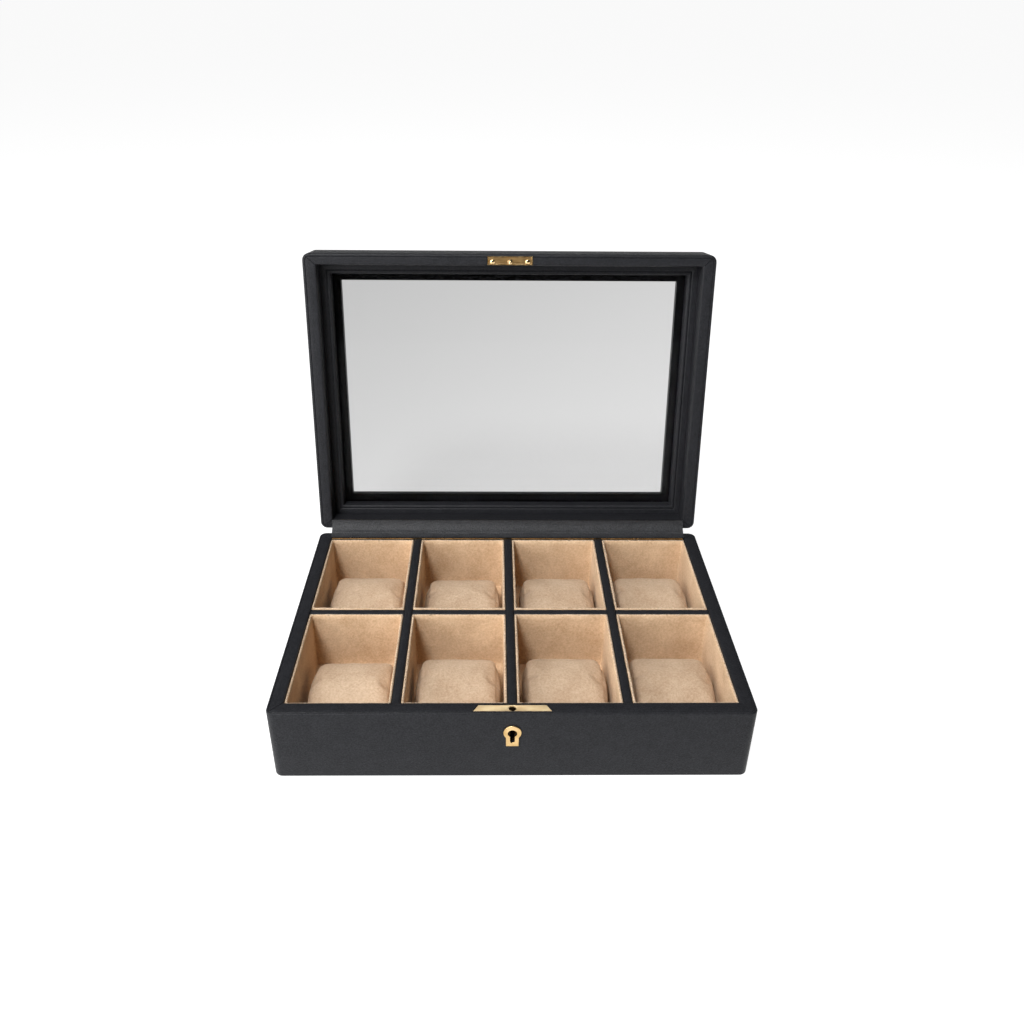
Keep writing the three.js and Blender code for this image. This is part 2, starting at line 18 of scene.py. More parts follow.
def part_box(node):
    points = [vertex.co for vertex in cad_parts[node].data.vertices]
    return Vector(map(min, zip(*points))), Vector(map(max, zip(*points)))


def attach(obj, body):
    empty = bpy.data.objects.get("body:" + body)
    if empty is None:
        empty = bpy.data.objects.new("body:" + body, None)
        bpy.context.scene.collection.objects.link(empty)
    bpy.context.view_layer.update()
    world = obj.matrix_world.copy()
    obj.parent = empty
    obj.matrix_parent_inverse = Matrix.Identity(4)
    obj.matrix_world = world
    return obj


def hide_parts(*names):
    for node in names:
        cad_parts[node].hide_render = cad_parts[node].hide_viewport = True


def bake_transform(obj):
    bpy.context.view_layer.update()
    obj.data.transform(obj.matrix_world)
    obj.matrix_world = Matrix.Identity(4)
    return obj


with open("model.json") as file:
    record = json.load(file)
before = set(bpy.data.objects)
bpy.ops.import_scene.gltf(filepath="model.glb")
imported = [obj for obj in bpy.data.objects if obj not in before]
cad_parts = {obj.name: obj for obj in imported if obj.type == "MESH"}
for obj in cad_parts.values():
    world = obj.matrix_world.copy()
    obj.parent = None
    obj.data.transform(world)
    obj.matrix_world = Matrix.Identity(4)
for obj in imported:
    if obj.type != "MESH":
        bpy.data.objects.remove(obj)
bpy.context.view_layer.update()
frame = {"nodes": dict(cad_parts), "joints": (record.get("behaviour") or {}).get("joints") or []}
MM = 0.001


# ---------------------------------------------------------------- camera
def make_camera():
    yaw, pitch, roll = math.radians(-0.91), math.radians(31.02), math.radians(0.55)
    turn = Matrix.Rotation(yaw, 3, "Z")
    right = turn @ Vector((1, 0, 0))
    ahead = turn @ Vector((0, math.cos(pitch), -math.sin(pitch)))
    up = turn @ Vector((0, math.sin(pitch), math.cos(pitch)))
    right, up = (
        math.cos(roll) * right + math.sin(roll) * up,
        math.cos(roll) * up - math.sin(roll) * right,
    )
    data = bpy.data.cameras.new("camera")
    data.sensor_width = 36
    data.lens = 32.13
    data.shift_x = 0.007
    data.shift_y = 0.0187
    data.clip_start = 0.01
    data.clip_end = 100
    camera = bpy.data.objects.new("camera", data)
    axes = Matrix((right, up, -ahead)).transposed()
    camera.matrix_world = Matrix.Translation((-0.01206, -0.50539, 0.41804)) @ axes.to_4x4()
    bpy.context.scene.collection.objects.link(camera)
    bpy.context.scene.camera = camera


# ---------------------------------------------------------------- places: most read from the imported part, a few given as numbers
def box_mm(node):
    low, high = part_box(node)
    return np.array(low) / MM, np.array(high) / MM


CASE_LOW, CASE_HIGH = box_mm("base_cover")
LEFT, FRONT = CASE_LOW[0], CASE_LOW[1]
RIGHT, BACK = CASE_HIGH[0], CASE_HIGH[1]
RIM_TOP = box_mm("base_rim_left")[1][2]
RIM_SIDE = box_mm("base_rim_left")[1][0] - LEFT
RIM_FRONT = box_mm("base_rim_front")[1][1] - FRONT
RIM_BACK = BACK - box_mm("base_rim_back")[0][1]
HINGE = [j for j in frame["joints"] if j["name"] == "lid_hinge"][0]
PIN_Y, PIN_Z = HINGE["pos_m"][1] / MM, HINGE["pos_m"][2] / MM
OPEN = math.radians(HINGE["range_deg"][0])
LID_RIM = 2 * PIN_Z - RIM_TOP  # the lid's rim plane when shut
LID_DEPTH = 32
STUD_Y = -97.3
STRIKE_HALF = 16.0  # half the strike plate's length
OVER_RIM = 60  # a height clear above the case's rim, for the tools that cut it
HINGE_HALF = box_mm("hinge_leaf_base")[1][0]
FLAP_HALF = box_mm("hinge_flap")[1][0]
CASE = (LEFT, FRONT, RIGHT, BACK)
WIDTHS = (RIM_SIDE, RIM_FRONT, RIM_SIDE, RIM_BACK)
LID_FRONT, LID_BACK = 7.7, 6.8
LID_WIDTHS = (RIM_SIDE, LID_FRONT, RIM_SIDE, LID_BACK)
INNER = (LEFT + RIM_SIDE, FRONT + RIM_FRONT, RIGHT - RIM_SIDE, BACK - RIM_BACK)


# ---------------------------------------------------------------- materials
def set_range(node, low, high, to_low, to_high):
    for socket, number in zip(("From Min", "From Max", "To Min", "To Max"), (low, high, to_low, to_high)):
        node.inputs[socket].default_value = number


class Shader:
    """A node material built round one Principled shader."""

    def __init__(self, name, color, roughness, metallic=0.0, **sockets):
        self.material = bpy.data.materials.new(name)
        self.material.use_nodes = True
        self.nodes = self.material.node_tree.nodes
        self.links = self.material.node_tree.links
        self.shader = self.nodes["Principled BSDF"]
        self.place = self.nodes.new("ShaderNodeTexCoord").outputs["Object"]
        self.set(**{"Base Color": (*color, 1), "Roughness": roughness, "Metallic": metallic})
        self.set(**{k.replace("_", " "): v for k, v in sockets.items()})
        self.material.diffuse_color = (*color, 1)

    def set(self, **values):
        for socket, value in values.items():
            self.shader.inputs[socket].default_value = value

    def stretched(self, scale):
        mapping = self.nodes.new("ShaderNodeMapping")
        mapping.inputs["Scale"].default_value = scale
        self.links.new(self.place, mapping.inputs["Vector"])
        return mapping.outputs["Vector"]

    def noise(self, scale, detail=2.0, rough=0.5, place=None, distortion=0.0):
        node = self.nodes.new("ShaderNodeTexNoise")
        node.inputs["Scale"].default_value = scale
        node.inputs["Detail"].default_value = detail
        node.inputs["Roughness"].default_value = rough
        node.inputs["Distortion"].default_value = distortion
        self.links.new(place or self.place, node.inputs["Vector"])
        return node.outputs["Fac"]

    def cells(self, scale, smooth=0.35):
        node = self.nodes.new("ShaderNodeTexVoronoi")
        node.feature = "SMOOTH_F1"
        node.inputs["Scale"].default_value = scale
        node.inputs["Smoothness"].default_value = smooth
        self.links.new(self.place, node.inputs["Vector"])
        return node.outputs["Distance"]

    def ramp(self, value, low, high, to_low, to_high):
        node = self.nodes.new("ShaderNodeMapRange")
        set_range(node, low, high, to_low, to_high)
        self.links.new(value, node.inputs["Value"])
        return node.outputs["Result"]

    def maths(self, kind, a, b):
        node = self.nodes.new("ShaderNodeMath")
        node.operation = kind
        for socket, value in zip(node.inputs, (a, b)):
            if isinstance(value, (int, float)):
                socket.default_value = value
            else:
                self.links.new(value, socket)
        return node.outputs[0]

    def color(self, factor, dark, light):
        """Base colour from dark to light as factor goes from 0 to 1."""
        node = self.nodes.new("ShaderNodeMix")
        node.data_type = "RGBA"
        node.inputs["A"].default_value = (*dark, 1)
        node.inputs["B"].default_value = (*light, 1)
        self.links.new(factor, node.inputs["Factor"])
        self.links.new(node.outputs["Result"], self.shader.inputs["Base Color"])
        return node

    def rough(self, value):
        self.links.new(value, self.shader.inputs["Roughness"])

    def bump(self, height, distance, strength=1.0):
        node = self.nodes.new("ShaderNodeBump")
        node.inputs["Distance"].default_value = distance
        node.inputs["Strength"].default_value = strength
        self.links.new(height, node.inputs["Height"])
        if self.shader.inputs["Normal"].is_linked:
            earlier = self.shader.inputs["Normal"].links[0].from_socket
            self.links.new(earlier, node.inputs["Normal"])
        self.links.new(node.outputs["Normal"], self.shader.inputs["Normal"])


def leather(name, dark, light, roughness=0.40, grain=1.0, shine=0.13):
    """Black calf leather: a fine pebbled grain with lighter specks, and slightly uneven polish."""
    s = Shader(name, light, roughness, Specular_IOR_Level=shine)
    fine = s.noise(1100, 2, 0.65)
    pebble = s.cells(1200)
    specks = s.maths("ADD", s.maths("MULTIPLY", fine, 0.8), s.maths("MULTIPLY", s.noise(160, 2, 0.5), 0.2))
    s.color(s.ramp(specks, 0.34, 0.68, 0, 1), dark, light)
    s.rough(s.ramp(specks, 0.3, 0.7, roughness - 0.04, roughness + 0.05))
    s.bump(pebble, 0.00018 * grain, 0.5)
    s.bump(fine, 0.00022 * grain, 0.6)
    return s.material


def suede(name, dark, light, nap=1.0, cloud=0.3):
    """Imitation suede: a short speckled nap, brushed a little lighter and darker in soft patches."""
    s = Shader(name, light, 0.95, Sheen_Weight=0.12, Sheen_Roughness=0.5)
    s.set(**{"Sheen Tint": (1.0, 0.88, 0.74, 1), "Specular IOR Level": 0.1})
    brushed = s.noise(45, 3, 0.55, distortion=0.4)
    flecks = s.noise(700, 2, 0.6)
    nap_noise = s.noise(1700, 3, 0.7)
    long_hair = s.maths("MULTIPLY", flecks, (1 - cloud) * 0.6)
    short_hair = s.maths("MULTIPLY", nap_noise, (1 - cloud) * 0.4)
    hair = s.maths("ADD", long_hair, short_hair)
    mixed = s.maths("ADD", s.maths("MULTIPLY", brushed, cloud), hair)
    s.color(s.ramp(mixed, 0.36, 0.64, 0, 1), dark, light)
    s.bump(nap_noise, 0.0004 * nap, 0.5)
    s.bump(flecks, 0.0007 * nap, 0.5)
    return s.material


def metal(name, dark, light, roughness, line=(120, 3000, 120), bump=0.00001):
    """Polished sheet metal with fine drawn lines and a little tarnish."""
    s = Shader(name, light, roughness, 1.0)
    lines = s.noise(1, 3, 0.6, s.stretched(line))
    tarnish = s.noise(150, 3)
    s.color(s.ramp(s.maths("MULTIPLY", lines, tarnish), 0.12, 0.36, 0, 1), dark, light)
    s.rough(s.ramp(tarnish, 0.3, 0.7, roughness - 0.05, roughness + 0.08))
    s.bump(lines, bump, 0.6)
    return s.material


def board(name, dark, light):
    s = Shader(name, light, 0.8)
    s.color(s.ramp(s.noise(700, 4, 0.7), 0.3, 0.7, 0, 1), dark, light)
    s.bump(s.noise(1200, 3), 0.0002, 0.4)
    return s.material


def felt(name, dark, light):
    s = Shader(name, light, 1.0, Sheen_Weight=0.3)
    fibres = s.noise(900, 4, 0.8, s.stretched((1, 2.5, 1)), 1.5)
    s.color(s.ramp(fibres, 0.3, 0.7, 0, 1), dark, light)
    s.bump(fibres, 0.0006, 0.7)
    return s.material


def glass(name):
    """Smoky float glass, with painted shade: the pane's colour is darker towards the upper left corner,
    standing in for the uneven light across it.
    """
    s = Shader(name, (0.62, 0.62, 0.62), 0.0, IOR=1.12, Transmission_Weight=1.0)
    axes = s.nodes.new("ShaderNodeSeparateXYZ")
    s.links.new(s.place, axes.inputs["Vector"])
    # painted shade: the colour ramps darker towards the upper left corner across X and Z, with a little random
    # unevenness on top
    corner = s.maths("SUBTRACT", axes.outputs["X"], s.maths("MULTIPLY", axes.outputs["Z"], 0.8))
    uneven = s.maths("MULTIPLY", s.noise(6, 1), 0.05)
    s.color(s.ramp(s.maths("ADD", corner, uneven), -0.27, 0.05, 0, 1), (0.49, 0.49, 0.49), (0.62, 0.62, 0.62))
    s.rough(s.ramp(s.noise(40, 2), 0.3, 0.7, 0.0, 0.02))
    return s.material


LEATHER = leather("black_leather", (0.0095, 0.0099, 0.0115), (0.0232, 0.0238, 0.0272))
FLAP_LEATHER = leather("black_leather_soft", (0.010, 0.0103, 0.0115), (0.034, 0.035, 0.039), 0.5, 2.0, 0.3)
SUEDE = suede("tan_suede", (0.50, 0.325, 0.19), (0.76, 0.56, 0.37), cloud=0.4)
PILLOW_SUEDE = suede("tan_suede_pillow", (0.41, 0.28, 0.18), (0.62, 0.47, 0.335), cloud=0.35)
RAW_EDGE = suede("suede_raw_edge", (0.30, 0.20, 0.12), (0.72, 0.56, 0.41), 2.0, 0.1)
BRASS = metal("polished_brass", (0.80, 0.56, 0.27), (0.93, 0.70, 0.40), 0.2)
PLATE_BRASS = metal("plate_brass", (0.95, 0.71, 0.40), (1.0, 0.86, 0.58), 0.65, bump=0.000003)
BADGE_BRASS = metal("badge_brass", (0.52, 0.33, 0.12), (0.80, 0.56, 0.28), 0.3)
BRASS_DARK = metal("brushed_brass", (0.20, 0.12, 0.045), (0.40, 0.26, 0.11), 0.42)
LOCK_BRASS = metal("lock_brass", (0.05, 0.03, 0.012), (0.16, 0.10, 0.045), 0.5)
STEEL = metal("steel", (0.30, 0.30, 0.31), (0.62, 0.62, 0.64), 0.3)
BOARD = board("fibreboard", (0.22, 0.14, 0.08), (0.38, 0.27, 0.17))
FELT = felt("black_felt", (0.006, 0.006, 0.007), (0.02, 0.02, 0.022))
GLASS = glass("window_pane")


# ---------------------------------------------------------------- mesh helpers
def piece(name, points, faces, material, body, slot, replaces=(), angle=35, opened=False, extra=()):
    """A mesh from points in mm. Lid pieces are made shut and opened here."""
    mesh = bpy.data.meshes.new(name)
    mesh.from_pydata([tuple(np.asarray(p, float) * MM) for p in points], [], faces)
    obj = bpy.data.objects.new(name, mesh)
    bpy.context.scene.collection.objects.link(obj)
    for m in (material, *extra):
        mesh.materials.append(m)
    close_up(mesh, angle)
    if opened:
        mesh.transform(lid_open())
    settle(obj, body, slot, replaces)
    return obj


def lid_open():
    shift = Matrix.Translation((0, PIN_Y * MM, PIN_Z * MM))
    return shift @ Matrix.Rotation(OPEN, 4, "X") @ shift.inverted()


def close_up(mesh, angle=35):
    """Faces outwards, smooth shading with sharp edges where the surface really turns."""
    bm = bmesh.new()
    bm.from_mesh(mesh)
    bmesh.ops.remove_doubles(bm, verts=bm.verts, dist=2e-6)
    bmesh.ops.recalc_face_normals(bm, faces=bm.faces)
    bm.to_mesh(mesh)
    bm.free()
    mesh.polygons.foreach_set("use_smooth", [True] * len(mesh.polygons))
    mesh.set_sharp_from_angle(angle=math.radians(angle))


def settle(obj, body, slot, replaces=()):
    if body:
        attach(obj, body)
    if replaces:
        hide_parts(*replaces)


def apply_modifiers(obj):
    graph = bpy.context.evaluated_depsgraph_get()
    mesh = bpy.data.meshes.new_from_object(obj.evaluated_get(graph), depsgraph=graph)
    obj.modifiers.clear()
    obj.data = mesh


def cut_with(obj, *solids):
    """Cuts closed tool meshes, as (points in mm, faces), out of an object."""
    tools = []
    for points, faces in solids:
        mesh = bpy.data.meshes.new("tool")
        mesh.from_pydata([tuple(np.asarray(p, float) * MM) for p in points], [], faces)
        close_up(mesh)
        tool = bpy.data.objects.new("tool", mesh)
        bpy.context.scene.collection.objects.link(tool)
        cut = obj.modifiers.new("cut", "BOOLEAN")
        cut.operation = "DIFFERENCE"
        cut.solver = "EXACT"
        cut.object = tool
        tools.append(tool)
    bpy.context.view_layer.update()
    apply_modifiers(obj)
    for tool in tools:
        bpy.data.objects.remove(tool)
    obj.data.polygons.foreach_set("use_smooth", [True] * len(obj.data.polygons))
    obj.data.set_sharp_from_angle(angle=math.radians(30))


def block(x, y, z):
    """A box's points and faces, from its two ends along each axis."""
    points = [(i, j, k) for i in x for j in y for k in z]
    faces = [(0, 1, 3, 2), (4, 6, 7, 5), (0, 4, 5, 1), (2, 3, 7, 6), (0, 2, 6, 4), (1, 5, 7, 3)]
    return points, faces


def rect_loop(rect, insets, radius, z, steps=6, cuts=1):
    """Points round a rectangle with round corners. cuts is the number of stretches along each side."""
    x0, y0 = rect[0] + insets[0], rect[1] + insets[1]
    x1, y1 = rect[2] - insets[2], rect[3] - insets[3]
    corners = [(x0, y0, 180), (x1, y0, 270), (x1, y1, 0), (x0, y1, 90)]
    arcs = []
    for x, y, start in corners:
        cx = x + radius if x == x0 else x - radius
        cy = y + radius if y == y0 else y - radius
        arc = []
        for i in range(steps + 1):
            a = math.radians(start + 90 * i / steps)
            arc.append((cx + radius * math.cos(a), cy + radius * math.sin(a), z))
        arcs.append(arc)
    loop = []
    for i, arc in enumerate(arcs):
        loop += arc
        a, b = arc[-1], arcs[(i + 1) % 4][0]
        for k in range(1, cuts):
            t = k / cuts
            loop.append((a[0] + (b[0] - a[0]) * t, a[1] + (b[1] - a[1]) * t, z))
    return loop


def join_loops(loops, cyclic=False, caps=False):
    size = len(loops[0])
    points = [p for loop in loops for p in loop]
    faces = []
    for i in range(len(loops) if cyclic else len(loops) - 1):
        j = (i + 1) % len(loops)
        for k in range(size):
            n = (k + 1) % size
            faces.append((i * size + k, i * size + n, j * size + n, j * size + k))
    if caps:
        faces.append(tuple(reversed(range(size))))
        faces.append(tuple(range((len(loops) - 1) * size, len(loops) * size)))
    return points, faces


def arc_points(cu, cz, radius, start, end, steps):
    out = []
    for i in range(steps + 1):
        a = math.radians(start + (end - start) * i / steps)
        out.append((cu + radius * math.cos(a), cz + radius * math.sin(a)))
    return out


def ring(name, rect, widths, profile, material, corner=5.0, least=0.35, cuts=24, **kwargs):
    """A closed ring. profile points are (share of the side's width, further inset, z) in mm."""
    loops = []
    for share, off, z in profile:
        insets = [share * w + off for w in widths]
        radius = max(corner - (corner if share else off), least)
        loops.append(rect_loop(rect, insets, radius, z, cuts=cuts))
    points, faces = join_loops(loops, cyclic=True)
    return piece(name, points, faces, material, **kwargs)


def surface(points):
    return [(0, u, z) for u, z in points]


def mitres(rect, widths, z, up):
    """A narrow wedge across each corner of a rim, which cuts the line where two strips of leather meet."""
    wedges = []
    for sx, sy in ((0, 0), (1, 0), (1, 1), (0, 1)):
        outer = np.array([rect[2 * sx], rect[2 * sy + 1]])
        inner = outer + np.array([(1 - 2 * sx) * widths[2 * sx], (1 - 2 * sy) * widths[2 * sy + 1]])
        along = (inner - outer) / np.linalg.norm(inner - outer)
        side = np.array([-along[1], along[0]]) * 0.28
        loops = []
        for end in (outer - along, inner + along * 0.6):
            loops.append([(*(end - side), z + up * 0.3), (*(end + side), z + up * 0.3), (*end, z - up * 0.5)])
        wedges.append(join_loops(loops, caps=True))
    return wedges


# ---------------------------------------------------------------- the case
def keyhole_outline(grow=0.0, steps=20):
    """The keyhole's outline in X and Z, as the part has it."""
    radius, half, top, bottom = 2.75 + grow, 1.4 + grow, 36.2, 29.0
    turn = math.degrees(math.asin(half / radius))
    outline = arc_points(0, top, radius, turn - 90, 270 - turn, steps)
    outline += arc_points(0, bottom + 1.4, half, 180, 360, 8)
    return outline


def prism_y(outline, y0, y1):
    loops = [[(x, y, z) for x, z in outline] for y in (y0, y1)]
    return join_loops(loops, caps=True)


def plate_outline(grow=0.0):
    """The lock's face plate in X and Y: a little narrower at the back than at the front."""
    low, high = box_mm("lock_face_plate")
    taper = 3.3
    wide, narrow = high[0] + grow, high[0] + grow - taper
    front, back = low[1] - 0.3 * grow, high[1] + 0.7 * grow
    return [(-wide, front), (wide, front), (narrow, back), (-narrow, back)]


def base_leather():
    """The leather of the case: under the edge, up the sides, over the rim and a little way down inside."""
    top, thick, foot, bend = RIM_TOP, 1.0, 0.35, 1.2
    profile = [(0, 9, 0.62), (0, 2.0, 0.62), (0, 1.9, foot + 0.04)]
    profile += surface(arc_points(bend, foot + bend, bend, 270, 180, 6))
    profile += surface(arc_points(0.9, top - 0.9, 0.9, 180, 90, 6))[:-1]
    # a groove just inside the rounded edge, then the crowned rim and the turn down inside
    profile += [(0, 0.95, top), (0, 1.2, top - 0.03), (0, 1.5, top - 0.35), (0, 1.8, top)]
    profile += [(0, 2.2, top + 0.08), (0.5, 0, top + 0.12), (1, -1.6, top + 0.08), (1, -0.8, top - 0.02)]
    profile += [(1, -0.25, top - 0.28), (1, -0.02, top - 0.9), (1, 0, top - 6)]
    profile += [(1, -thick, top - 6), (1, -thick, top - 1.6), (0, 1.2 + thick, top - 1.6)]
    profile += [(0, 1.2, top - 2.6), (0, 1.2, 1.75), (0, 9, 1.75)]
    obj = ring(
        "case_leather", CASE, WIDTHS, profile, LEATHER, body="base", slot="leather",
        replaces=["base_cover", "base_rim_front", "base_rim_back", "base_rim_left", "base_rim_right"],
    )
    plate_floor = 45  # below the leather, so that the plate's place is cut right through it
    cut_with(
        obj,
        prism_y(keyhole_outline(0.3), FRONT - 2, FRONT + 2.5),
        join_loops([[(x, y, z) for x, y in plate_outline(0.35)] for z in (plate_floor, OVER_RIM)], caps=True),
        block((-FLAP_HALF - 0.15, FLAP_HALF + 0.15), (0, BACK + 20), (RIM_TOP - 1.2, OVER_RIM)),
        *mitres(CASE, WIDTHS, RIM_TOP, 1),
    )
    return obj


def rounded_bar(name, x, y, z, radius, **kwargs):
    """A bar along its longer side, with its two top edges rounded and its top a little crowned."""
    along_x = x[1] - x[0] > y[1] - y[0]
    a0, a1 = (y if along_x else x)
    half = (a1 - a0) / 2
    section = [(a0, z[0]), (a0, z[1] - radius)]
    section += arc_points(a0 + radius, z[1] - radius, radius, 180, 90, 5)[1:]
    section += [(a0 + half, z[1] + 0.12)]
    section += arc_points(a1 - radius, z[1] - radius, radius, 90, 0, 5)
    section += [(a1, z[0])]
    ends = x if along_x else y
    steps = 40
    loops = []
    for i in range(steps + 1):
        t = ends[0] + (ends[1] - ends[0]) * i / steps
        wave = 0.08 * noise.noise(Vector((t * 0.12, a0, z[1])))
        if along_x:
            loops.append([(t, u, v + wave * (v > z[0] + 5)) for u, v in section])
        else:
            loops.append([(u, t, v + wave * (v > z[0] + 5)) for u, v in section])
    points, faces = join_loops(loops, caps=True)
    return piece(name, points, faces, LEATHER, **kwargs)


def dividers():
    low, high = box_mm("divider_cross")
    for place in ("left", "middle", "right"):
        node = f"divider_{place}"
        a, b = box_mm(node)
        rounded_bar(
            node + "_leather", (a[0], b[0]), (a[1], b[1]), (a[2], b[2]), 1.7,
            body="base", slot="divider", replaces=[node],
        )
    xs = [low[0]]
    for place in ("left", "middle", "right"):
        a, b = box_mm(f"divider_{place}")
        xs += [a[0] + 0.05, b[0] - 0.05]
    xs.append(high[0])
    for i in range(4):
        rounded_bar(
            f"divider_cross_leather_{i + 1}", xs[2 * i : 2 * i + 2], (low[1], high[1]), (low[2], high[2]),
            1.6, body="base", slot="divider", replaces=["divider_cross"],
        )


def liner(node, seed):
    """A tray of suede-covered board with a raw top edge that isn't quite straight."""
    low, high = box_mm(node)
    rect = (low[0], low[1], high[0], high[1])
    wall, floor = 1.4, low[2] + 1.4
    profile = [
        (0, low[2]), (0, high[2] - 0.5), (0.25, high[2] - 0.08), (0.7, high[2] + 0.1), (1.15, high[2] - 0.08),
        (wall, high[2] - 0.5), (wall, high[2] - 4), (wall, high[2] - 12), (wall, high[2] - 24),
        (wall, floor + 8), (wall, floor + 1.5), (wall + 0.4, floor + 0.3), (wall + 1.6, floor),
    ]
    loops = []
    for inset, z in profile:
        radius = 0.5 if inset < 0.5 else 1.0
        loops.append([list(p) for p in rect_loop(rect, [inset] * 4, radius, z, steps=3, cuts=26)])
    centre = np.array([(low[0] + high[0]) / 2, (low[1] + high[1]) / 2, 0])
    for i, loop in enumerate(loops):
        inset, z = profile[i]
        for p in loop:
            key = Vector((p[0] * 0.09 + seed * 7.3, p[1] * 0.09, p[2] * 0.05))
            rough = noise.noise(Vector((p[0] * 0.45, p[1] * 0.45, seed * 3.1)))
            toward = centre - np.array(p)
            toward[2] = 0
            side = np.where(np.abs(toward) == np.abs(toward).max(), np.sign(toward), 0)
            if inset >= wall and z > floor + 1:
                bow = 0.35 * noise.noise(key)
                p[0] += side[0] * (0.1 + bow * 0.6)
                p[1] += side[1] * (0.1 + bow * 0.6)
            if z > high[2] - 1:
                p[2] += 0.22 * rough + 0.15 * noise.noise(key * 2)
                p[0] += side[0] * 0.12 * rough
                p[1] += side[1] * 0.12 * rough
    points, faces = join_loops(loops, caps=True)
    obj = piece(
        node.replace("liner", "tray"), points, faces, SUEDE, body="base", slot="suede",
        replaces=[node], angle=60, extra=[RAW_EDGE],
    )
    edge = (high[2] - 0.45) * MM
    for face in obj.data.polygons:
        if all(obj.data.vertices[v].co.z > edge for v in face.vertices):
            face.material_index = 1
    return obj


# ---------------------------------------------------------------- pillows
def pillow_shape(size, shrink):
    """The stuffed roll before it is filled: points and faces, centred on the pillow. size is half its box."""
    sides, rows = 72, 48
    power = 2.45
    loops = []
    for i in range(rows + 1):
        u = -1 + 2 * i / rows
        # bunch the rows where the ends turn over
        along = math.copysign(1 - (1 - abs(u)) ** 1.25, u)
        edge = 6.0 / size[0]
        over = max(0.0, (abs(along) - (1 - edge)) / edge)
        pull = 1 - 0.22 * (1 - math.sqrt(max(0.0, 1 - over * over)))
        loop = []
        for k in range(sides):
            a = 2 * math.pi * k / sides
            c, s = math.cos(a), math.sin(a)
            y = math.copysign(abs(c) ** (2 / power), c) * size[1] * pull
            z = math.copysign(abs(s) ** (2 / power), s) * size[2] * pull
            loop.append((along * size[0] * shrink, y * shrink, z * shrink))
        loops.append(loop)
    return join_loops(loops, caps=True)


def inflate(obj, cap):
    """Fills the pillow with Blender's cloth, at ten times its size. No point moves further than cap."""
    scene = bpy.context.scene
    remesh = obj.modifiers.new("remesh", "REMESH")
    remesh.mode = "VOXEL"
    remesh.voxel_size = 0.024
    bpy.context.view_layer.update()
    apply_modifiers(obj)
    start = np.array([v.co for v in obj.data.vertices])
    cloth = obj.modifiers.new("cloth", "CLOTH")
    cloth.settings.quality = 5
    cloth.settings.use_pressure = True
    cloth.settings.uniform_pressure_force = 5.0
    cloth.settings.tension_stiffness = 20
    cloth.settings.compression_stiffness = 20
    cloth.settings.bending_stiffness = 1.5
    cloth.settings.effector_weights.gravity = 0
    cloth.settings.shrink_min = -0.03
    cloth.point_cache.frame_start = 1
    cloth.point_cache.frame_end = 20
    for f in range(1, 21):
        scene.frame_set(f)
    graph = bpy.context.evaluated_depsgraph_get()
    result = obj.evaluated_get(graph)
    end = np.array([v.co for v in result.data.vertices])
    obj.modifiers.clear()
    scene.frame_set(1)
    move = end - start
    length = np.linalg.norm(move, axis=1, keepdims=True)
    move *= np.minimum(1, cap / np.maximum(length, 1e-9))
    obj.data.vertices.foreach_set("co", (start + move).ravel())


def pillow(node, seed):
    low, high = box_mm(node)
    centre, size = (low + high) / 2, (high - low) / 2
    points, faces = pillow_shape(size, 0.955)
    mesh = bpy.data.meshes.new(node)
    mesh.from_pydata([tuple(np.array(p) * MM * 10) for p in points], [], faces)
    close_up(mesh, 180)
    obj = bpy.data.objects.new(node.replace("pillow", "cushion"), mesh)
    bpy.context.scene.collection.objects.link(obj)
    inflate(obj, cap=0.03)
    smooth = obj.modifiers.new("smooth", "SUBSURF")
    smooth.levels = smooth.render_levels = 1
    bpy.context.view_layer.update()
    apply_modifiers(obj)
    finish_pillow(obj.data, centre, size, seed)
    obj.data.materials.clear()
    obj.data.materials.append(PILLOW_SUEDE)
    obj.data.polygons.foreach_set("use_smooth", [True] * len(obj.data.polygons))
    settle(obj, node, "suede", [node])
    return obj


def finish_pillow(mesh, centre, size, seed):
    """Brings the pillow to its place, presses it on the floor of its tray and sews the two end seams."""
    mesh.calc_loop_triangles()
    count = len(mesh.vertices)
    co = np.zeros(count * 3)
    mesh.vertices.foreach_get("co", co)
    co = co.reshape(-1, 3) / (MM * 10)
    normal = np.zeros(count * 3)
    mesh.vertices.foreach_get("normal", normal)
    normal = normal.reshape(-1, 3)
    lowest, highest = co.min(0), co.max(0)
    fit = np.minimum(1.0, 2 * size / (highest - lowest))
    co = (co - (lowest + highest) / 2) * fit
    away = size[0] - np.abs(co[:, 0])
    rng = random.Random(seed)
    phase = rng.uniform(0, 50)
    for i in range(count):
        p = co[i]
        v = Vector((p[0] * 0.05 + phase, p[1] * 0.07, p[2] * 0.07))
        lump = 0.45 * noise.noise(v) + 0.18 * noise.noise(v * 3.1)
        angle = math.atan2(p[2] / size[2], p[1] / size[1])
        round_seam = Vector((math.cos(angle) * 4 + phase, math.sin(angle) * 4, math.copysign(3, p[0])))
        pucker = 0.5 + 0.5 * noise.noise(round_seam)
        seam = math.exp(-(((away[i] - 2.1) / 0.65) ** 2))
        near = math.exp(-(((away[i] - 5.0) / 3.0) ** 2))
        outward = lump - 0.6 * seam - 0.35 * near * pucker
        co[i] += normal[i] * outward
    co[:, 2] = np.maximum(co[:, 2], -size[2] + 0.02)
    over = np.maximum(np.abs(co) - size, 0) * np.sign(co)
    co -= over
    co += centre
    mesh.vertices.foreach_set("co", (co * MM).ravel())
    mesh.update()


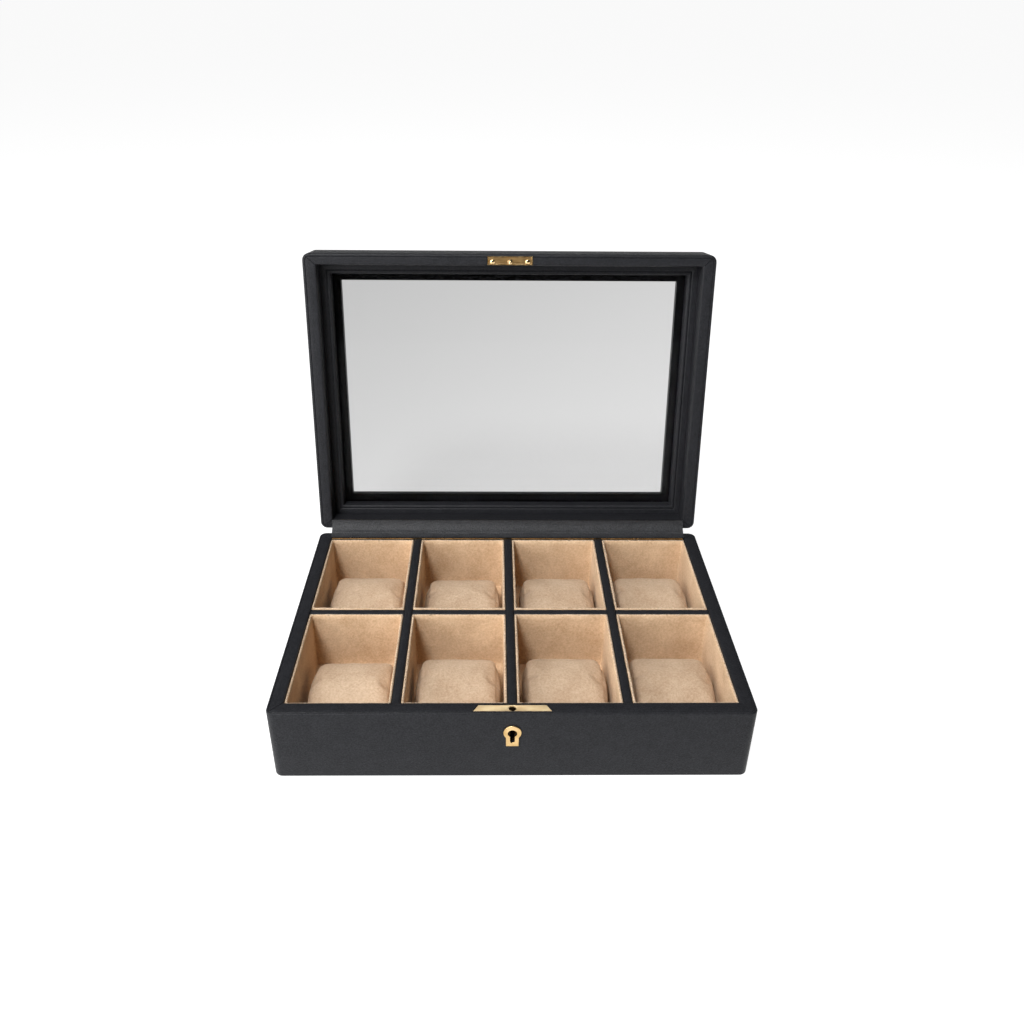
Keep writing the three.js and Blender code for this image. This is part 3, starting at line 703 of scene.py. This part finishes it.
# ---------------------------------------------------------------- metal pieces
def flat_plate(name, outlines, thickness, bevel, place, material, **kwargs):
    """A bevelled plate from 2-D outlines in mm: the first is its edge, and the others are holes."""
    curve = bpy.data.curves.new(name, "CURVE")
    curve.dimensions = "2D"
    curve.fill_mode = "BOTH"
    curve.extrude = thickness / 2 - bevel
    curve.bevel_depth = bevel
    curve.bevel_resolution = 2
    curve.offset = -bevel
    for outline in outlines:
        spline = curve.splines.new("POLY")
        spline.points.add(len(outline) - 1)
        for point, (x, y) in zip(spline.points, outline):
            point.co = (x, y, 0, 1)
        spline.use_cyclic_u = True
    source = bpy.data.objects.new(name + "_curve", curve)
    bpy.context.scene.collection.objects.link(source)
    bpy.context.view_layer.update()
    mesh = bpy.data.meshes.new_from_object(source)
    bpy.data.objects.remove(source)
    mesh.name = name
    mesh.transform(Matrix.Diagonal((MM, MM, MM, 1)))
    mesh.transform(place)
    obj = bpy.data.objects.new(name, mesh)
    bpy.context.scene.collection.objects.link(obj)
    mesh.materials.clear()
    mesh.materials.append(material)
    close_up(mesh, 40)
    settle(obj, **kwargs)
    return obj


def circle(x, y, radius, steps=32):
    turns = [2 * math.pi * i / steps for i in range(steps)]
    return [(x + radius * math.cos(a), y + radius * math.sin(a)) for a in turns]


def at(x, y, z):
    return Matrix.Translation((x * MM, y * MM, z * MM))


def lathe(name, profile, centre, steps, material, **kwargs):
    """Turned about a vertical axis; profile points are (radius, z) in mm from the foot to the top."""
    x, y, foot = centre
    loops = [[(u, v, foot + z) for u, v in circle(x, y, r, steps)] for r, z in profile]
    points, faces = join_loops(loops, caps=True)
    return piece(name, points, faces, material, **kwargs)


def lock():
    low, high = box_mm("lock_face_plate")
    hole = circle(0, STUD_Y, 2.3)
    lie_flat = at(0, 0, (low[2] + high[2]) / 2)
    flat_plate(
        "face_plate", [plate_outline(), hole], high[2] - low[2], 0.18, lie_flat, PLATE_BRASS,
        body="base", slot="brass", replaces=["lock_face_plate"],
    )
    low, high = box_mm("keyhole_escutcheon")
    radius, neck = (high[0] - low[0]) / 2, 3.9
    top = high[2] - radius
    turn = math.degrees(math.asin(neck / radius))
    badge = arc_points(0, top, radius, turn - 90, 270 - turn, 40)
    badge += [(-neck + 0.1, low[2]), (neck - 0.1, low[2])]
    stand_up = at(0, (low[1] + high[1]) / 2, 0) @ Matrix.Rotation(math.pi / 2, 4, "X")
    flat_plate(
        "escutcheon", [badge, keyhole_outline()], high[1] - low[1], 0.28, stand_up, BADGE_BRASS,
        body="base", slot="brass", replaces=["keyhole_escutcheon"],
    )


def strike():
    """On the lid: a plate with a raised border, two rivets and the catch stud."""
    x, y0, y1 = STRIKE_HALF, FRONT + 1.3, FRONT + LID_FRONT - 0.2
    face, back = LID_RIM + 0.25, LID_RIM + 1.2
    dip, border, slope = 0.35, 0.75, 0.3
    loops = []
    for inset, z in [(0, back), (0, face + 0.12), (0.12, face), (border, face), (border + slope, face + dip)]:
        loops.append(rect_loop((-x, y0, x, y1), [inset] * 4, max(0.5 - inset, 0.12), z, steps=4, cuts=2))
    points, faces = join_loops(loops, caps=True)
    obj = piece(
        "strike_plate_brass", points, faces, BRASS, body="lid", slot="brass", opened=True,
        replaces=["strike_plate"], extra=[BRASS_DARK], angle=25,
    )
    for polygon in obj.data.polygons:
        if len(polygon.vertices) > 8:  # only the two flat ends of the plate have so many corners
            polygon.material_index = 1
    dome = [(0.2, 1.2), (0.9, 1.2), (0.95, 0.45), (1.75, 0.45)]
    dome += [(1.7, 0.1), (1.35, -0.22), (0.8, -0.4), (0.2, -0.46)]
    for side, sx in (("left", -12.3), ("right", 12.3)):
        lathe(
            f"rivet_{side}", dome, (sx, STUD_Y, LID_RIM), 28, BRASS, body="lid", slot="brass", opened=True,
            replaces=[f"strike_rivet_{side}"],
        )
    stud = [
        (0.2, 1.2), (1.0, 1.2), (1.1, 0.45), (1.85, 0.45), (1.85, -0.3), (1.7, -0.5), (1.1, -0.6),
        (1.1, -4.1), (0.6, -4.2), (0.6, -6.3), (1.1, -6.4), (1.1, -6.8), (0.95, -7.1), (0.6, -7.33),
        (0.2, -7.4),
    ]
    lathe(
        "stud_brass", stud, (0, STUD_Y, LID_RIM), 28, BRASS, body="lid", slot="brass", opened=True,
        replaces=["catch_stud"],
    )


def hinge_leaves():
    """The piano hinge: a plate on each rim, with its knuckles round the pin."""
    count, gap, outer = 15, 0.3, 1.6
    step = 2 * HINGE_HALF / count
    for name, up, first, body in (("base", -1, 0, "base"), ("lid", 1, 1, "lid")):
        rim = LID_RIM if up > 0 else RIM_TOP
        width = LID_BACK if up > 0 else RIM_BACK
        z = sorted((rim + up * 0.4, rim + up * 1.1))
        points, faces = block((-HINGE_HALF, HINGE_HALF), (BACK - width + 0.5, BACK - 0.1), z)
        points = [tuple(p) for p in points]
        for i in range(first, count, 2):
            x0 = -HINGE_HALF + i * step + gap / 2
            x1 = x0 + step - gap
            loops = []
            for x, r in ((x0, outer - 0.2), (x0 + 0.15, outer), (x1 - 0.15, outer), (x1, outer - 0.2)):
                loops.append([(x, y, z_) for y, z_ in circle(PIN_Y, PIN_Z, r, 24)])
            for p, f in (join_loops(loops, caps=True), block((x0, x1), (BACK - 0.3, PIN_Y - 0.4), z)):
                shift = len(points)
                points += p
                faces = faces + [tuple(v + shift for v in face) for face in f]
        piece(
            f"hinge_{name}_brass", points, faces, BRASS, body=body, slot="brass", opened=up > 0,
            replaces=[f"hinge_leaf_{name}"], angle=30,
        )


# ---------------------------------------------------------------- the lid, made shut and then opened
def lid_leather():
    """The lid's leather: from the window over the top, down the sides, round the rim and down inside it."""
    up = lambda t: LID_RIM + t
    top, over = LID_DEPTH, 3.0
    inner_depth = 13.8
    profile = [(1, 12.9, up(25.6)), (1, 12.9, up(top - 0.7)), (1, 12.68, up(top - 0.2)), (1, 12.2, up(top))]
    profile += [(1, 4, up(top + 0.05))]
    profile += surface([(u, up(top - over + v)) for u, v in arc_points(over, 0, over, 90, 180, 6)])
    profile += surface([(u, up(v)) for u, v in arc_points(1.4, 1.4, 1.4, 180, 270, 8)])[:-1]
    profile += [(0, 1.45, up(0)), (0, 1.75, up(0.03)), (0, 2.05, up(0.4)), (0, 2.4, up(0))]
    profile += [(0, 2.9, up(-0.08)), (0.5, 0, up(-0.12)), (1, -1.6, up(-0.08)), (1, -0.8, up(0.02))]
    profile += [(1, -0.25, up(0.28)), (1, 0.1, up(0.9)), (1, 0.25, up(inner_depth)), (1, 0.15, up(25.6))]
    obj = ring(
        "lid_leather", CASE, LID_WIDTHS, profile, LEATHER, body="lid", slot="leather",
        replaces=[
            "lid_cover", "lid_rim_front", "lid_rim_back", "lid_rim_left", "lid_rim_right",
            "lid_rail_front", "lid_rail_back", "lid_rail_left", "lid_rail_right", "lid_top_board",
        ],
    )
    strike_span = (-STRIKE_HALF - 0.2, STRIKE_HALF + 0.2)
    flap_span = (-FLAP_HALF - 0.15, FLAP_HALF + 0.15)
    cut_with(
        obj,
        block(strike_span, (FRONT + 1.15, FRONT + LID_FRONT + 0.05), (LID_RIM - 5, LID_RIM + 1.5)),
        block(flap_span, (BACK - LID_BACK - 0.2, BACK + 20), (LID_RIM - 5, LID_RIM + 1.3)),
        *mitres(CASE, LID_WIDTHS, LID_RIM, -1),
    )
    obj.data.transform(lid_open())
    return obj


def moulding():
    """The frame that holds the glass: leather, rolled over its inner edge with a crease beside the roll."""
    up = lambda t: LID_RIM + t
    face, foot, width = 13.8, 22.9, 7.4
    profile = [(1, 0.3, up(foot)), (1, 0.3, up(face + 0.1)), (1, 1.2, up(face)), (1, width - 3.3, up(face))]
    profile += [(1, width - 2.75, up(face + 0.4)), (1, width - 2.3, up(face + 0.05))]
    profile += [(1, width - 1.5, up(face - 0.18))]
    profile += [(1, width - 0.8, up(face - 0.05)), (1, width - 0.25, up(face + 0.4))]
    profile += [(1, width, up(face + 1.1)), (1, width, up(foot))]
    ring(
        "moulding_leather", CASE, LID_WIDTHS, profile, LEATHER, body="lid", slot="moulding",
        opened=True, replaces=["window_moulding"],
    )
    low = 25.5
    profile = [(1, 0.5, up(28.7)), (1, 0.5, up(low)), (1, 11.9, up(low)), (1, 12.35, up(low + 0.05))]
    profile += [(1, 12.6, up(low + 0.3)), (1, 12.75, up(low + 0.9)), (1, 12.75, up(28.7))]
    ring(
        "border_leather", CASE, LID_WIDTHS, profile, LEATHER, corner=2.0, least=1.6,
        body="lid", slot="moulding", opened=True, replaces=["window_border"],
    )


def pane():
    """The window glass, with ground edges."""
    up = lambda t: LID_RIM + t
    width = 3.6
    edge = [(1.0, 23.2), (0.5, 23.2), (0, 23.5), (0, 24.9), (0.5, 25.2), (1, 25.2)]
    loops = []
    for inset, t in edge:
        insets = [w + (width + inset) for w in LID_WIDTHS]
        loops.append(rect_loop(CASE, insets, 3.0, up(t), steps=6, cuts=1))
    points, faces = join_loops(loops, caps=True)
    piece(
        "glass_pane", points, faces, GLASS, body="lid", slot="glass", opened=True,
        replaces=["window_glass"], angle=20,
    )


def flap():
    """The soft leather that covers the hinge inside, creased where it bends."""
    a = np.array([INNER[3] + 0.8, RIM_TOP + 0.0])
    b = np.array([PIN_Y - 1.3, PIN_Z + 1.2])
    c = np.array([PIN_Y + 1.3, PIN_Z + 9.0])
    rows, columns, thick = 36, 270, 0.5
    half = FLAP_HALF
    outer, inner = [], []
    for i in range(rows + 1):
        t = i / rows
        p = (1 - t) ** 2 * a + 2 * t * (1 - t) * b + t * t * c
        d = 2 * (1 - t) * (b - a) + 2 * t * (c - b)
        n = np.array([-d[1], d[0]]) / np.linalg.norm(d)
        row_out, row_in = [], []
        for k in range(columns + 1):
            x = -half + 2 * half * k / columns
            fade = math.sin(math.pi * t) ** 0.7
            crease = noise.noise(Vector((x * 0.05, t * 5, 3.3))) * 0.2
            crease += noise.noise(Vector((x * 0.4, t * 9, 8.1))) * 0.12
            wander = 0.02 * noise.noise(Vector((x * 0.03, 0, 1)))
            ridge = 0.18 * math.exp(-(((t - 0.36 - wander) / 0.05) ** 2))
            lift = fade * (crease + ridge)
            q = p + n * (lift + 0.1)
            row_in.append((x, q[0], q[1]))
            q = q + n * thick
            row_out.append((x, q[0], q[1]))
        outer.append(row_out)
        inner.append(row_in)
    size = columns + 1
    points = [p for row in outer + inner for p in row]
    faces = []
    base = (rows + 1) * size
    for i in range(rows):
        for k in range(columns):
            q = i * size + k
            faces.append((q, q + 1, q + size + 1, q + size))
            faces.append((base + q, base + q + size, base + q + size + 1, base + q + 1))
    for k in range(columns):
        faces.append((k, base + k, base + k + 1, k + 1))
        q = rows * size + k
        faces.append((q, q + 1, base + q + 1, base + q))
    for i in range(rows):
        q = i * size
        faces.append((q, q + size, base + q + size, base + q))
        q = i * size + columns
        faces.append((q, base + q, base + q + size, q + size))
    obj = piece(
        "hinge_flap_leather", points, faces, FLAP_LEATHER, body=None, slot="leather",
        replaces=["hinge_flap"], angle=50,
    )
    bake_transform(obj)


# ---------------------------------------------------------------- CAD pieces that stay
def dress_cad():
    kept = {
        "underside_felt": FELT, "bottom_board": BOARD, "lock_case": LOCK_BRASS, "lock_back_plate": LOCK_BRASS,
        "key_post": BRASS, "lock_bolt": STEEL, "bolt_spring": STEEL, "hinge_pin": STEEL,
        "base_wall_front": BOARD, "base_wall_back": BOARD, "base_wall_left": BOARD, "base_wall_right": BOARD,
    }
    for node, material in kept.items():
        obj = frame["nodes"][node]
        for place in obj.material_slots:
            place.material = material


# ---------------------------------------------------------------- studio
def area_light(name, direction, distance, size, power):
    data = bpy.data.lights.new(name, "AREA")
    data.shape = "SQUARE"
    data.size = size
    data.energy = power
    light = bpy.data.objects.new(name, data)
    aim = Vector((0, 0.02, 0.05))
    place = aim + Vector(direction).normalized() * distance
    light.location = place
    light.rotation_euler = (aim - place).to_track_quat("-Z", "Y").to_euler()
    bpy.context.scene.collection.objects.link(light)


def studio():
    scene = bpy.context.scene
    scene.view_settings.view_transform = "Standard"
    world = bpy.data.worlds.new("studio")
    scene.world = world
    world.use_nodes = True
    nodes, links = world.node_tree.nodes, world.node_tree.links
    axes = nodes.new("ShaderNodeSeparateXYZ")
    links.new(nodes.new("ShaderNodeTexCoord").outputs["Generated"], axes.inputs["Vector"])
    glow = nodes.new("ShaderNodeMapRange")
    # the sky keeps Blender's own dark grey, so it stays dim: a little less so behind the box than in front
    set_range(glow, 0.1, 0.55, 0.3, 1.5)
    links.new(axes.outputs["Y"], glow.inputs["Value"])
    links.new(glow.outputs["Result"], nodes["Background"].inputs["Strength"])
    mesh = bpy.data.meshes.new("studio_floor")
    mesh.from_pydata([(-30, -30, 0), (30, -30, 0), (30, 60, 0), (-30, 60, 0)], [], [(0, 1, 2, 3)])
    floor = bpy.data.objects.new("studio_floor", mesh)
    scene.collection.objects.link(floor)
    paint = Shader("pale_floor", (0.3, 0.3, 0.3), 0.9)
    paint.set(**{"Emission Color": (1, 1, 1, 1), "Emission Strength": 0.94, "Specular IOR Level": 0.0})
    mesh.materials.append(paint.material)
    area_light("key", (-0.33, -0.7, 1.0), 2.2, 0.5, 37)
    area_light("left", (-1.2, -0.3, 0.8), 1.2, 1.0, 7)
    area_light("side", (-1.0, -1.0, 0.45), 1.2, 0.8, 8)
    area_light("top", (0, 0.1, 1.0), 2.2, 1.5, 14)


make_camera()
dress_cad()
base_leather()
dividers()
for row in ("front", "back"):
    for column in range(1, 5):
        number = column + (4 if row == "back" else 0)
        liner(f"liner_{row}_{column}", number)
        pillow(f"pillow_{row}_{column}", number)
lock()
hinge_leaves()
lid_leather()
moulding()
pane()
strike()
flap()
studio()
